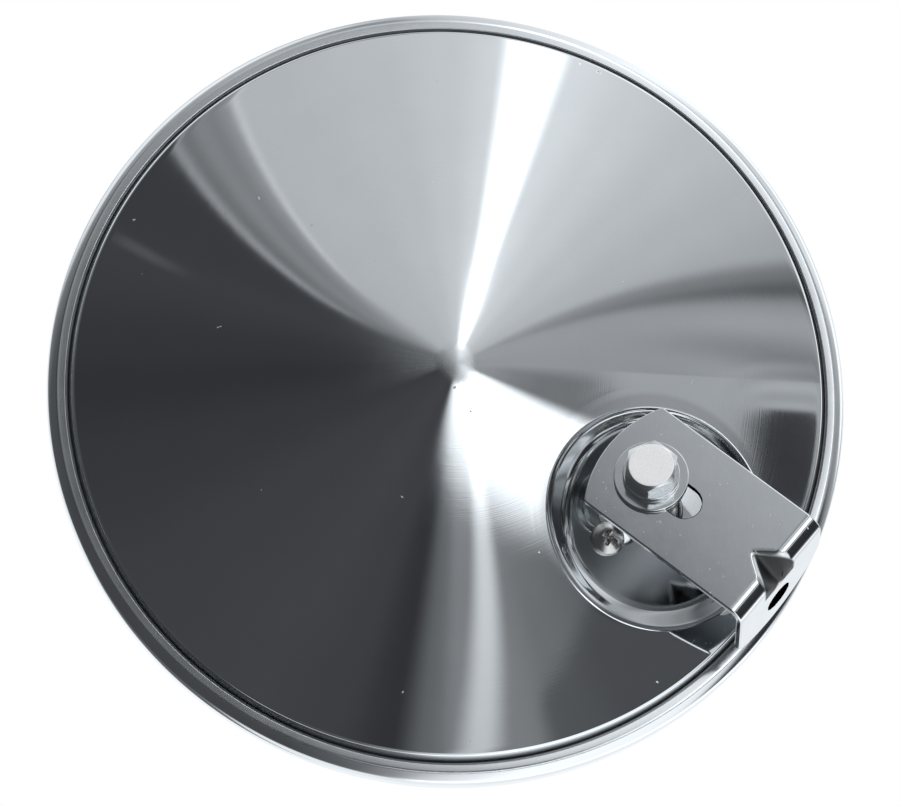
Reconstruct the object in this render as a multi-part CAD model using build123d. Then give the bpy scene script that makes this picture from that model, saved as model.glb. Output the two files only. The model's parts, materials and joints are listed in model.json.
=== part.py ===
from build123d import *
import os
from math import atan, cos, radians, sin, sqrt

# Round convex mirror head, 8.5 inch class, seen here with its mirror plane upright.
# The head is modelled in its own frame: origin at the centre of the rim, +Z out of the back along
# the axis of the cone, +X towards the offset socket. The stud and bracket are modelled in the stud's
# frame: origin at the ball's centre, +Z along the clamp bolt, +X along the bracket towards its bend.
# Both are placed in the part's frame, where +Z is up, +Y is the way the glass faces and the origin
# is the centre of the mounting hole in the bracket's leg. Units are millimetres and degrees.

# ---- driving dimensions: head
RIM_R = 108.0            # outside radius of the bezel
SHEET = 0.8              # steel of the spun back
BEZEL_SHEET = 0.7
BEZEL_BACK = 2.6         # back face of the bezel, above the rim plane
BEZEL_FRONT = -6.85      # front face of the bezel
BEZEL_MOUTH_BACK = 102.8  # radius of the rolled edge on the back
BEZEL_MOUTH_FRONT = 102.4
BEZEL_BACK_ROLL = 3.4
BEZEL_FRONT_ROLL = 3.2
CONE_TOP = 26.3          # where the cone's straight sides would meet
CONE_BASE_R = 100.9
CONE_BASE_Z = 5.2045
TIP_R = 20.0             # spherical blend at the tip of the cone
FLANGE_Z = 1.8           # back face of the flange that the bezel grips
FLANGE_R = 104.8
STEP_FOOT_R = 102.3

GLASS_CURVE = 508.0      # radius of curvature of the mirror's face, 20 inches
GLASS_R = 105.5
GLASS_EDGE_Z = -5.0      # front of the glass at its edge
GLASS_THICK = 2.2
COAT_THICK = 0.15
BOARD_THICK = 1.5
BOARD_R = 104.2
LAY_GAP = 0.05           # between pieces that lie on each other
FOAM_R = 98.5

# ---- driving dimensions: socket in the back
OFFSET = 63.9            # ball's centre from the head's axis
BALL_Z = 9.6             # ball's centre above the rim plane
POCKET_MOUTH_R = 30.1
POCKET_FLOOR_R = 25.5
POCKET_MOUTH_AT = (1.34, -1.4)   # centres, from the ball's
POCKET_FLOOR_AT = (2.2, 0.32)
BALL_ABOVE_FLOOR = 1.3
BALL_R = 7.5
BALL_GAP = 0.15
NECK_R = 3.5
MOUTH_HALF_ANGLE = 58.0  # of the socket's opening, seen from the ball's centre
SEAT_THICK = 1.2
SEAT_HALF_ANGLE = 55.0
DOUBLER_THICK = 1.2
DOUBLER_R = 21.0
PLATE_THICK = 1.2
RETAINER_R = 19.4
SCREW_CIRCLE_R = 14.1
SCREW_AT = (-113.0, 7.0, 127.0)   # round the socket's axis, from the offset direction
SCREW_R = 2.4
SCREW_HEAD_R = 4.5
SCREW_HEAD = 3.0
NUT_FLATS = 8.0
NUT_THICK = 3.2
SPRING_WASHER = 1.1

# ---- driving dimensions: stud and bracket
STUD_LEAN = 10.9         # of the stud from the head's axis
STUD_LEAN_AT = 168.3     # which way it leans, round from the offset direction
HEADING = -6.6           # the bracket's direction, round from the offset direction
PLATE_TOP = 24.0         # bracket's outer face above the ball's centre
BARREL_R = 7.5
BARREL_FOOT = 11.5
UNDER_WASHER = 1.2
BRACKET_HIGH = 17.5      # half widths of the bracket, either side of the slot's middle
BRACKET_LOW = 16.0
BRACKET_T = 2.0
BRACKET_IN = (9.6, 10.1)  # plate's corners behind the bolt, on the low and the high side
BRACKET_OUT = 42.4       # leg's outer face from the bolt
LEG_DROP = (24.6, 14.0)  # leg's corners below the plate's outer face
PLATE_BULGE = 4.7        # rise of the curved ends
LEG_BULGE = 8.5
BEND_R = 4.6
HOLE_R = 4.3
HOLE_DROP = 17.2
SLOT_W = 9.0
SLOT_TRAVEL = 11.0
DART_REACH = 8.8         # how far the pressed dart runs in along the plate
DART_DROP = 9.0
DART_HALF = 6.0
VALLEY_SHIFT = 0.35      # of a dart's valley and foot for each millimetre that its skin lies inside
FOOT_SHIFT = 0.44
BOLT_R = 3.97            # 5/16 inch
BOLT_FLATS = 12.7
BOLT_TURN = 31.0
BOLT_HEAD = 5.2
BOLT_LENGTH = 12.7
TAP_DEPTH = 7.5
FLAT_WASHER_R = 9.8
FLAT_WASHER = 1.4
LOCK_WASHER_R = 7.45
LOCK_WASHER = 2.0
BORE_GAP = 0.08          # bolt in its tapped hole
BIG = 400.0

# ---- worked-out sizes
CONE_SLOPE = atan((CONE_TOP - CONE_BASE_Z) / CONE_BASE_R)
GLASS_CENTRE = GLASS_EDGE_Z + sqrt(GLASS_CURVE**2 - GLASS_R**2)
FLOOR_Z = -BALL_ABOVE_FLOOR
DOME_IN = BALL_R + BALL_GAP
DOME_OUT = DOME_IN + SHEET
SEAT_IN = BALL_R + BALL_GAP
SEAT_OUT = SEAT_IN + SEAT_THICK
DISH_IN = SEAT_OUT + BALL_GAP
DISH_OUT = DISH_IN + PLATE_THICK
DOUBLER_TOP = FLOOR_Z - SHEET - LAY_GAP
RETAINER_TOP = DOUBLER_TOP - DOUBLER_THICK - LAY_GAP


def polar(length, angle, z):
    return (length * cos(radians(angle)), length * sin(radians(angle)), z)


# ---- frames
HEAD_AZIMUTH = -34.8     # offset direction, below the horizontal as seen from behind
OFFSET_DIR = (cos(radians(HEAD_AZIMUTH)), 0, sin(radians(HEAD_AZIMUTH)))
HEAD_FRAME = Plane(origin=(0, 0, 0), x_dir=OFFSET_DIR, z_dir=(0, -1, 0)).location
SOCKET_IN_HEAD = Plane(
    origin=(OFFSET, 0, BALL_Z),
    x_dir=(cos(CONE_SLOPE), 0, -sin(CONE_SLOPE)),
    z_dir=(sin(CONE_SLOPE), 0, cos(CONE_SLOPE)),
).location
STUD_IN_HEAD = Plane(
    origin=(OFFSET, 0, BALL_Z),
    x_dir=polar(1, HEADING, 0),
    z_dir=polar(sin(radians(STUD_LEAN)), STUD_LEAN_AT, cos(radians(STUD_LEAN))),
).location
BRACKET_IN_HEAD = STUD_IN_HEAD * Pos(0, 0, PLATE_TOP)
HOLE_IN_BRACKET = Pos(BRACKET_OUT - BRACKET_T / 2, 0, -HOLE_DROP)
HOLE_POINT = (HEAD_FRAME * BRACKET_IN_HEAD * HOLE_IN_BRACKET).position
HEAD = Pos(-HOLE_POINT.X, -HOLE_POINT.Y, -HOLE_POINT.Z) * HEAD_FRAME
SOCKET = HEAD * SOCKET_IN_HEAD
STUD = HEAD * STUD_IN_HEAD
BRACKET = HEAD * BRACKET_IN_HEAD


# ---- small makers
def turned(points):
    """Solid of revolution about Z from (radius, height) corners."""
    face = make_face(Polyline([(r, 0, z) for r, z in points], close=True))
    return revolve(face, Axis.Z)


def disc(radius, low, high):
    return Pos(0, 0, low) * Cylinder(radius, high - low, align=(Align.CENTER, Align.CENTER, Align.MIN))


def ring(outer, inner, low, high):
    return disc(outer, low, high) - disc(inner, low - 1, high + 1)


def hexagon(flats, low, high):
    return Pos(0, 0, low) * extrude(RegularPolygon(flats / 2, 6, major_radius=False), high - low)


def below(z):
    """Everything under the height z."""
    return Pos(0, 0, z) * Box(BIG, BIG, BIG, align=(Align.CENTER, Align.CENTER, Align.MAX))


def screw_places():
    return [Pos(*polar(SCREW_CIRCLE_R, angle, 0)) * Rot(0, 0, angle) for angle in SCREW_AT]


# ---- head
def cone_z(radius):
    return CONE_TOP - radius * (CONE_TOP - CONE_BASE_Z) / CONE_BASE_R


def back_solid(inset):
    """Solid body of the back, up to a skin that lies inset below its outer face."""
    tip_r = (TIP_R - inset) * sin(CONE_SLOPE)
    tip_centre = CONE_TOP - TIP_R / cos(CONE_SLOPE)
    tangent = (tip_r, 0, tip_centre + (TIP_R - inset) * cos(CONE_SLOPE))
    top = (0, 0, tip_centre + TIP_R - inset)
    middle = (
        (TIP_R - inset) * sin(CONE_SLOPE / 2),
        0,
        tip_centre + (TIP_R - inset) * cos(CONE_SLOPE / 2),
    )
    shoulder_r = CONE_BASE_R - inset * 0.7
    shoulder = (shoulder_r, 0, cone_z(shoulder_r) - inset / cos(CONE_SLOPE))
    foot = (STEP_FOOT_R - inset, 0, FLANGE_Z - inset)
    edge = (FLANGE_R, 0, FLANGE_Z - inset)
    floor = FLANGE_Z - 3 * SHEET
    outline = ThreePointArc(top, middle, tangent) + Polyline(
        tangent, shoulder, foot, edge, (FLANGE_R, 0, floor), (0, 0, floor), top
    )
    return revolve(make_face(outline), Axis.Z)


def pocket(inset):
    """Space pressed into the back round the socket, in the socket's frame."""
    reach = 3.0
    floor_at, mouth_at = Vector(*POCKET_FLOOR_AT), Vector(*POCKET_MOUTH_AT)
    drift = (mouth_at - floor_at) * reach
    flare = (POCKET_MOUTH_R - POCKET_FLOOR_R) * reach
    floor = Pos(floor_at.X, floor_at.Y, FLOOR_Z - inset) * Circle(POCKET_FLOOR_R + inset)
    top_at = floor_at + drift
    top_z = FLOOR_Z - inset + pocket_depth() * reach
    top = Pos(top_at.X, top_at.Y, top_z) * Circle(POCKET_FLOOR_R + inset + flare)
    return loft([floor.faces()[0], top.faces()[0]], ruled=True)


def pocket_depth():
    above_ball = (cone_z(OFFSET) - BALL_Z) * cos(CONE_SLOPE)
    return above_ball + BALL_ABOVE_FLOOR


def housing_shell():
    """Spun steel back: cone, step and flange, with the pocket and the ball's dome pressed into it."""
    outer = back_solid(0) - SOCKET_IN_HEAD * pocket(0) + SOCKET_IN_HEAD * dome(DOME_OUT)
    inner = back_solid(SHEET) - SOCKET_IN_HEAD * pocket(SHEET) + SOCKET_IN_HEAD * dome(DOME_IN)
    shell = outer - inner - below(FLANGE_Z - SHEET)
    shell -= SOCKET_IN_HEAD * socket_mouth()
    for place in screw_places():
        shell -= SOCKET_IN_HEAD * place * disc(SCREW_R + 0.2, FLOOR_Z - 3, FLOOR_Z + 3)
    return shell


def socket_mouth():
    """Cone from the ball's centre that opens the dome for the neck."""
    reach = 3 * BALL_R
    half = radians(MOUTH_HALF_ANGLE)
    return Cone(0, reach * sin(half), reach * cos(half), align=(Align.CENTER, Align.CENTER, Align.MIN))


def dome(radius):
    return Sphere(radius) - below(FLOOR_Z - SHEET * 2)


def bezel_ring():
    """Rolled channel that grips the flange of the back and the edge of the glass."""
    outside = channel_side(0, BEZEL_BACK_ROLL, BEZEL_FRONT_ROLL)
    inside = channel_side(BEZEL_SHEET, BEZEL_BACK_ROLL, BEZEL_FRONT_ROLL)
    ends = Line(outside @ 0, inside @ 0) + Line(outside @ 1, inside @ 1)
    return revolve(make_face(outside + inside + ends), Axis.Z)


def channel_side(inset, back_roll, front_roll):
    """One side of the bezel's section, from its back mouth round to its front mouth."""
    return FilletPolyline(
        (BEZEL_MOUTH_BACK, 0, BEZEL_BACK - inset),
        (RIM_R - inset, 0, BEZEL_BACK - inset),
        (RIM_R - inset, 0, BEZEL_FRONT + inset),
        (BEZEL_MOUTH_FRONT, 0, BEZEL_FRONT + inset),
        radius=[back_roll - inset, front_roll - inset],
    )


def glass_z(curve, radius):
    return GLASS_CENTRE - sqrt(curve**2 - radius**2)


def dished(front_curve, back_curve, radius):
    """Disc between two spheres about the centre of the glass's curve."""
    centre = Pos(0, 0, GLASS_CENTRE)
    sheet = disc(radius, -BIG / 10, 0) & (centre * Sphere(front_curve))
    return sheet - centre * Sphere(back_curve)


def mirror_glass():
    return dished(GLASS_CURVE, GLASS_CURVE - GLASS_THICK, GLASS_R)


def reflective_coating():
    front = GLASS_CURVE - GLASS_THICK
    return dished(front, front - COAT_THICK, GLASS_R - 0.3)


def board_front():
    return GLASS_CURVE - GLASS_THICK - COAT_THICK - LAY_GAP


def backing_board():
    return dished(board_front(), board_front() - BOARD_THICK, BOARD_R)


def foam_ring():
    """Foam that presses the board and glass forward from the flange."""
    back = board_front() - BOARD_THICK - LAY_GAP
    top = FLANGE_Z - SHEET - LAY_GAP
    return turned([
        (FOAM_R, glass_z(back, FOAM_R)),
        (BOARD_R, glass_z(back, BOARD_R)),
        (BOARD_R, top),
        (FOAM_R, top),
    ])


def edge_gasket():
    """Rubber channel round the edge of the glass, inside the bezel."""
    outer = RIM_R - BEZEL_SHEET - 0.15
    front = BEZEL_FRONT + BEZEL_SHEET + 0.05
    back = GLASS_EDGE_Z + GLASS_THICK + 1.0
    lip_r = BEZEL_MOUTH_FRONT + 0.6
    corner = BEZEL_FRONT_ROLL - 0.9
    block = turned([
        (lip_r, front),
        (outer - corner, front),
        (outer, front + corner),
        (outer, back),
        (BOARD_R + 0.3, back),
        (BOARD_R + 0.3, GLASS_EDGE_Z),
        (lip_r, GLASS_EDGE_Z),
    ])
    centre = Pos(0, 0, GLASS_CENTRE)
    slot = disc(GLASS_R + LAY_GAP, -BIG / 10, 0) & (centre * Sphere(GLASS_CURVE + LAY_GAP))
    slot -= centre * Sphere(GLASS_CURVE - GLASS_THICK - COAT_THICK - LAY_GAP)
    return block - slot - disc(lip_r + 1.5, GLASS_EDGE_Z, back + 1)


# ---- socket, in the socket's frame
def socket_doubler():
    """Reinforcing ring welded under the pocket's floor."""
    doubler = ring(DOUBLER_R, DISH_OUT + 0.2, DOUBLER_TOP - DOUBLER_THICK, DOUBLER_TOP)
    for place in screw_places():
        doubler -= place * disc(SCREW_R + 0.2, DOUBLER_TOP - 3, DOUBLER_TOP + 3)
    return doubler


def retainer_plate():
    """Dished spring plate that pulls the seat and ball up into the dome."""
    flange = disc(RETAINER_R, RETAINER_TOP - PLATE_THICK, RETAINER_TOP)
    dish = Sphere(DISH_OUT) & below(RETAINER_TOP)
    plate = flange + dish - Sphere(DISH_IN)
    for place in screw_places():
        plate -= place * disc(SCREW_R + 0.2, RETAINER_TOP - 3, RETAINER_TOP + 3)
    return plate


def ball_seat():
    """Nylon cup behind the ball."""
    half = radians(SEAT_HALF_ANGLE)
    reach = 2 * SEAT_OUT
    wedge = Cone(reach * sin(half), 0, reach * cos(half), align=(Align.CENTER, Align.CENTER, Align.MAX))
    return (Sphere(SEAT_OUT) & wedge) - Sphere(SEAT_IN)


def pan_screw():
    """Pan-head cross-recess screw, its head on the pocket's floor."""
    base = FLOOR_Z + LAY_GAP
    head = disc(SCREW_HEAD_R, base, base + SCREW_HEAD)
    head = fillet(head.edges().sort_by(Axis.Z)[-1], SCREW_HEAD * 0.62)
    head = fillet(head.edges().sort_by(Axis.Z)[0], 0.25)
    low = RETAINER_TOP - PLATE_THICK - SPRING_WASHER - NUT_THICK - 0.8
    shank = chamfer(disc(SCREW_R, low, base + 0.5).edges().sort_by(Axis.Z)[0], 0.5)
    return head + shank - Pos(0, 0, base + SCREW_HEAD) * cross_recess()


def cross_recess():
    """Cross-shaped driver recess, tapering to a point below the top of the head."""
    arm = 2.3
    width = 0.95
    depth = 2.0
    blade = Box(2 * arm, width, depth, align=(Align.CENTER, Align.CENTER, Align.MAX))
    taper = Cone(0.5, arm + 0.3, depth, align=(Align.CENTER, Align.CENTER, Align.MAX))
    return (blade + Rot(0, 0, 90) * blade) & taper


def nut_on_screw():
    top = RETAINER_TOP - PLATE_THICK - SPRING_WASHER - 2 * LAY_GAP
    nut = hexagon(NUT_FLATS, top - NUT_THICK, top)
    nut &= disc(NUT_FLATS / 2 + 0.45, top - NUT_THICK, top)
    return nut - disc(SCREW_R + BORE_GAP, top - NUT_THICK - 1, top + 1)


def spring_washer_on_screw():
    top = RETAINER_TOP - PLATE_THICK - LAY_GAP
    washer = ring(NUT_FLATS / 2, SCREW_R + 0.15, top - SPRING_WASHER, top)
    return washer - Pos(SCREW_R + 1, 0, top) * Rot(0, 0, 20) * Box(4, 0.5, 4)


def on_screws(maker):
    return Compound(children=[place * maker() for place in screw_places()])


# ---- stud and clamp, in the stud's frame
def ball_stud():
    """Ball, neck and tapped barrel in one turned piece."""
    top = PLATE_TOP - BRACKET_T - UNDER_WASHER - LAY_GAP
    barrel = disc(BARREL_R, BARREL_FOOT, top)
    barrel = chamfer(barrel.edges().sort_by(Axis.Z)[0], 1.6)
    barrel = chamfer(barrel.edges().sort_by(Axis.Z)[-1], 0.5)
    stud = Sphere(BALL_R) + disc(NECK_R, 0, BARREL_FOOT + 1) + barrel
    return stud - disc(BOLT_R + BORE_GAP, top - TAP_DEPTH, top + 1)


def under_washer():
    top = PLATE_TOP - BRACKET_T - LAY_GAP / 2
    return ring(FLAT_WASHER_R - 0.6, BOLT_R + 0.35, top - UNDER_WASHER + LAY_GAP / 2, top)


def flat_washer():
    low = PLATE_TOP + LAY_GAP / 2
    washer = ring(FLAT_WASHER_R, BOLT_R + 0.35, low, low + FLAT_WASHER)
    rims = washer.edges().filter_by(GeomType.CIRCLE).sort_by(Axis.Z)[-2:].sort_by(SortBy.RADIUS)
    return chamfer(rims[-1], 0.3)


def lock_washer():
    """Split spring washer, clamped flat."""
    low = PLATE_TOP + LAY_GAP + FLAT_WASHER
    washer = ring(LOCK_WASHER_R, BOLT_R + 0.2, low, low + LOCK_WASHER)
    return washer - Pos(-LOCK_WASHER_R, 0, low + LOCK_WASHER / 2) * Rot(30, 0, 0) * Box(9, 0.7, 8)


def hex_bolt():
    """Hexagon bolt with a chamfered head."""
    low = PLATE_TOP + 1.5 * LAY_GAP + FLAT_WASHER + LOCK_WASHER
    corner = BOLT_FLATS / sqrt(3)
    crown_r = BOLT_FLATS * 0.455
    crown = turned([
        (0, low), (corner, low), (corner, low + BOLT_HEAD - (corner - crown_r) * 0.5),
        (crown_r, low + BOLT_HEAD), (0, low + BOLT_HEAD),
    ])
    head = Rot(0, 0, BOLT_TURN) * hexagon(BOLT_FLATS, low, low + BOLT_HEAD) & crown
    shank = disc(BOLT_R, low - BOLT_LENGTH, low + 1)
    shank = chamfer(shank.edges().sort_by(Axis.Z)[0], 0.9)
    return head + shank


# ---- bracket, in the bracket's frame: origin on the plate's outer face at the bolt
def strip(length_in, bulge, length_out):
    """Flat strip with one curved end at -X, whose corners lie at their own lengths."""
    low, high = Vector(-length_in[0], -BRACKET_LOW), Vector(-length_in[1], BRACKET_HIGH)
    chord = high - low
    middle = (low + high) / 2 + Vector(-chord.Y, chord.X) * (bulge / chord.length)
    outline = Polyline(high, (length_out, BRACKET_HIGH), (length_out, -BRACKET_LOW), low)
    outline += ThreePointArc(low, middle, high)
    return extrude(make_face(outline), BRACKET_T)


def tetra(a, b, c, d):
    corners = [Vector(*p) for p in (a, b, c, d)]
    sides = [(0, 1, 2), (0, 1, 3), (0, 2, 3), (1, 2, 3)]
    faces = [Face(Wire.make_polygon([corners[i] for i in side], close=True)) for side in sides]
    return Solid(Shell(faces))


def dart(inset):
    """Pressed triangle across the bend: its valley runs from the plate down to the leg."""
    valley = inset * VALLEY_SHIFT
    half = DART_HALF + inset
    x = BRACKET_OUT - inset
    return tetra(
        (x - DART_REACH + inset - valley, 0, -inset),
        (x, 0, -DART_DROP - inset * FOOT_SHIFT),
        (x, half, -inset),
        (x, -half, -inset),
    )


def angle_bracket():
    """Slotted plate with a curved end, bent down into a short leg with the mounting hole."""
    plate = Pos(0, 0, -BRACKET_T) * strip(BRACKET_IN, PLATE_BULGE, BRACKET_OUT)
    leg = Pos(BRACKET_OUT - BRACKET_T, 0, 0) * Rot(0, -90, 0) * strip(LEG_DROP, LEG_BULGE, 0)
    leg = Pos(BRACKET_T, 0, 0) * leg
    body = plate + leg
    outside = body.edges().filter_by(Axis.Y).sort_by(Axis.X)[-4:].sort_by(Axis.Z)[-1]
    body = fillet(outside, BEND_R)
    inside = inner_corner(body)
    body = fillet(inside, BEND_R - BRACKET_T)
    body = body + dart(BRACKET_T) - dart(0)
    slot = Pos(SLOT_TRAVEL / 2, 0, 0) * SlotCenterToCenter(SLOT_TRAVEL, SLOT_W)
    body -= extrude(slot, BRACKET_T * 2, both=True)
    hole = Rot(0, 90, 0) * Cylinder(HOLE_R, BRACKET_T * 4)
    return body - Pos(BRACKET_OUT, 0, -HOLE_DROP) * hole


def inner_corner(body):
    """Edge where the plate's inner face meets the leg's inner face."""
    target = Vector(BRACKET_OUT - BRACKET_T, 0, -BRACKET_T)
    return min(body.edges().filter_by(Axis.Y), key=lambda e: (e.center() - target).length)


NODES = {
    "housing_shell": (HEAD, housing_shell),
    "bezel_ring": (HEAD, bezel_ring),
    "mirror_glass": (HEAD, mirror_glass),
    "reflective_coating": (HEAD, reflective_coating),
    "edge_gasket": (HEAD, edge_gasket),
    "backing_board": (HEAD, backing_board),
    "foam_ring": (HEAD, foam_ring),
    "socket_doubler": (SOCKET, socket_doubler),
    "retainer_plate": (SOCKET, retainer_plate),
    "ball_seat": (SOCKET, ball_seat),
    "clamp_screws": (SOCKET, lambda: on_screws(pan_screw)),
    "screw_spring_washers": (SOCKET, lambda: on_screws(spring_washer_on_screw)),
    "clamp_nuts": (SOCKET, lambda: on_screws(nut_on_screw)),
    "ball_stud": (STUD, ball_stud),
    "under_washer": (STUD, under_washer),
    "flat_washer": (STUD, flat_washer),
    "lock_washer": (STUD, lock_washer),
    "hex_bolt": (STUD, hex_bolt),
    "angle_bracket": (BRACKET, angle_bracket),
}

os.makedirs("parts", exist_ok=True)
for name, (place, maker) in NODES.items():
    export_step(place * maker(), f"parts/{name}.step")

for name, place in (("ball", STUD), ("socket", SOCKET), ("bracket", BRACKET), ("rim centre", HEAD)):
    plane = Plane(place)
    print(name, plane.origin, "x", plane.x_dir, "z", plane.z_dir)
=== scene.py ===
import json
from math import atan, cos, degrees, pi, radians, sin, sqrt

import bpy
import numpy as np
from mathutils import Matrix, Vector
from mathutils.geometry import delaunay_2d_cdt


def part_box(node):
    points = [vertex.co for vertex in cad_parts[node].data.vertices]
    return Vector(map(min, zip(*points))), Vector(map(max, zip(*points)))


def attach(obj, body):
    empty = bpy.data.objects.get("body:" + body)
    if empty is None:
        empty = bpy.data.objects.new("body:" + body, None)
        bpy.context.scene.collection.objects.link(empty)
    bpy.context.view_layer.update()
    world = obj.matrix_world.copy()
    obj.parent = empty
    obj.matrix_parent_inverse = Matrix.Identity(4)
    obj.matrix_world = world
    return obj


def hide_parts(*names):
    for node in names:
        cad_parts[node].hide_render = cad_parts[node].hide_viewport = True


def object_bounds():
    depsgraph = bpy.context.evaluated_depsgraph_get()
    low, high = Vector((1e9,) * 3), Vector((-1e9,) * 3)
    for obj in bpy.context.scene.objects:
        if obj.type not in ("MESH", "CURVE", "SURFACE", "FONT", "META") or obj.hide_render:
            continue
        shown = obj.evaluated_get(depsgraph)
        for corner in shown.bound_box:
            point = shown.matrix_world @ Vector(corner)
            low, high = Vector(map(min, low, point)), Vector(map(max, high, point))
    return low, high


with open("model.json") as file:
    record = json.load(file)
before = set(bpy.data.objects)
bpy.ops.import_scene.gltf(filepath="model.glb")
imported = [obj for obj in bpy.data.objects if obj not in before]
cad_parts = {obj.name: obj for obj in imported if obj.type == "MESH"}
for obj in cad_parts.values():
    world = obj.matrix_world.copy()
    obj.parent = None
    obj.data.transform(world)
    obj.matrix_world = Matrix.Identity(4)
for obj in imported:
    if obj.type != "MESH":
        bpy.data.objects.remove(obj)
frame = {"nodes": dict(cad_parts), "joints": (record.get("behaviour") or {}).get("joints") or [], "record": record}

cad_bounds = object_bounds()

# Round convex mirror head with an offset ball mount and a slotted angle bracket.
# Sizes are in millimetres, as on a drawing, and become metres where a mesh is made.
MM = 0.001

# ---- sizes: head
RIM_R = 107.98
BEZEL_SHEET = 0.7
BEZEL_BACK = 2.6
BEZEL_FRONT = -6.85
BEZEL_MOUTH_BACK = 102.8
BEZEL_MOUTH_FRONT = 102.4
BEZEL_BACK_ROLL = 3.4
BEZEL_FRONT_ROLL = 3.2
SHEET = 0.8
CONE_TOP = 26.3
CONE_BASE_R = 100.9
CONE_BASE_Z = 5.2045
TIP_R = 20.0
STEP_FOOT_R = 102.3
FLANGE_Z = 1.8
FLANGE_R = 104.8
GLASS_CURVE = 508.0
GLASS_R = 105.5
GLASS_EDGE_Z = -5.0
GLASS_THICK = 2.2
COAT_THICK = 0.15

# ---- sizes: socket, screws, stud and clamp
OFFSET = 63.9
BALL_Z = 9.6
BALL_ABOVE_FLOOR = 1.3
POCKET_MOUTH_R = 30.1
POCKET_FLOOR_R = 25.5
POCKET_MOUTH_AT = (1.34, -1.4)
POCKET_FLOOR_AT = (2.2, 0.32)
BALL_R = 7.5
DOME_OUT = 8.45
NECK_R = 3.5
MOUTH_HALF_ANGLE = radians(58)
SCREW_CIRCLE_R = 14.1
SCREW_AT = (-113, 7, 127)
SCREW_R = 2.4
SCREW_HEAD_R = 4.5
SCREW_HEAD = 3.0
SCREW_LOW = -10.6
DRIVER_TURN = 27
PLATE_TOP = 24.0
BARREL_R = 7.5
BARREL_FOOT = 11.5
BARREL_TOP = 20.75
TAP_DEPTH = 7.5
BOLT_R = 3.97
BOLT_FLATS = 12.7
BOLT_HEAD = 5.2
BOLT_LENGTH = 12.7
BOLT_TURN = 31
FLAT_WASHER_R = 9.8
FLAT_WASHER = 1.4
UNDER_WASHER_R = 9.2
UNDER_WASHER = 1.175
LOCK_WASHER_R = 7.45
LOCK_WASHER = 2.0
LOCK_GAP = 0.42          # half of the split washer's gap
LOCK_SLANT = 0.577       # of the gap, sideways per millimetre of height
CLAMP_GAP = 0.025        # between one clamped part and the next

# ---- sizes: bracket
BRACKET_HIGH = 17.5
BRACKET_LOW = 16.0
BRACKET_T = 2.0
BRACKET_IN = (9.6, 10.1)
BRACKET_OUT = 42.4
LEG_DROP = (24.6, 14.0)
PLATE_BULGE = 4.7
LEG_BULGE = 8.5
BEND_R = 4.6
HOLE_R = 4.3
HOLE_DROP = 17.2
SLOT_HALF = 4.5
SLOT_TRAVEL = 11.0
DART_REACH = 8.8
DART_DROP = 9.0
DART_HALF = 6.0

CONE_FALL = (CONE_TOP - CONE_BASE_Z) / CONE_BASE_R
CONE_SLOPE = atan(CONE_FALL)
GLASS_CENTRE = GLASS_EDGE_Z + sqrt(GLASS_CURVE**2 - GLASS_R**2)
FLOOR_Z = -BALL_ABOVE_FLOOR
UNDER_TOP = PLATE_TOP - BRACKET_T - CLAMP_GAP
FLAT_LOW = PLATE_TOP + CLAMP_GAP
LOCK_LOW = FLAT_LOW + FLAT_WASHER + CLAMP_GAP
BOLT_LOW = LOCK_LOW + LOCK_WASHER + CLAMP_GAP
BOLT_TOP = BOLT_LOW + BOLT_HEAD


# ---- frames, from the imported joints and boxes
def joint(name):
    return next(j for j in frame["joints"] if j["name"] == name)


def frame_matrix(origin, x_dir, y_dir, z_dir):
    columns = Matrix((x_dir, y_dir, z_dir)).transposed().to_4x4()
    return Matrix.Translation(origin) @ columns


def find_frames():
    """Head, stud and bracket frames: head +Z out of the back and +X to the socket, stud +Z along the bolt."""
    ball = Vector(joint("head_tip")["pos_m"])
    stud_x = Vector(joint("slot_slide")["axis"]).normalized()
    stud_z = Vector(joint("bracket_swivel")["axis"]).normalized()
    stud_y = stud_z.cross(stud_x).normalized()
    low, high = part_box("bezel_ring")
    rim = (low + high) / 2
    rim.y = low.y + BEZEL_BACK * MM
    head_z = Vector((0, -1, 0))
    head_x = (ball - rim) - head_z * (ball - rim).dot(head_z)
    head_x.normalize()
    head = frame_matrix(rim, head_x, head_z.cross(head_x), head_z)
    stud = frame_matrix(ball, stud_x, stud_y, stud_z)
    plate = stud @ Matrix.Translation((0, 0, PLATE_TOP * MM))
    return head, stud, plate


HEAD, STUD, PLATE = find_frames()
SOCKET_POINT = STUD.translation


# ---- mesh makers
def unit(v):
    length = np.linalg.norm(v, axis=-1, keepdims=True)
    return v / np.maximum(length, 1e-12)


def grid_normals(points, wrap_rows):
    """Normals of a grid of points whose columns run round a closed loop."""
    around = np.roll(points, -1, 1) - np.roll(points, 1, 1)
    if wrap_rows:
        along = np.roll(points, -1, 0) - np.roll(points, 1, 0)
    else:
        along = np.empty_like(points)
        along[1:-1] = points[2:] - points[:-2]
        along[0] = points[1] - points[0]
        along[-1] = points[-1] - points[-2]
    normals = np.cross(around, along)
    flat = np.linalg.norm(around, axis=-1) < 1e-7
    for row in np.nonzero(flat.all(1))[0]:
        beside = 1 if row == 0 else row - 1
        normals[row] = unit(normals[beside]).mean(0)
    return unit(normals)


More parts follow.
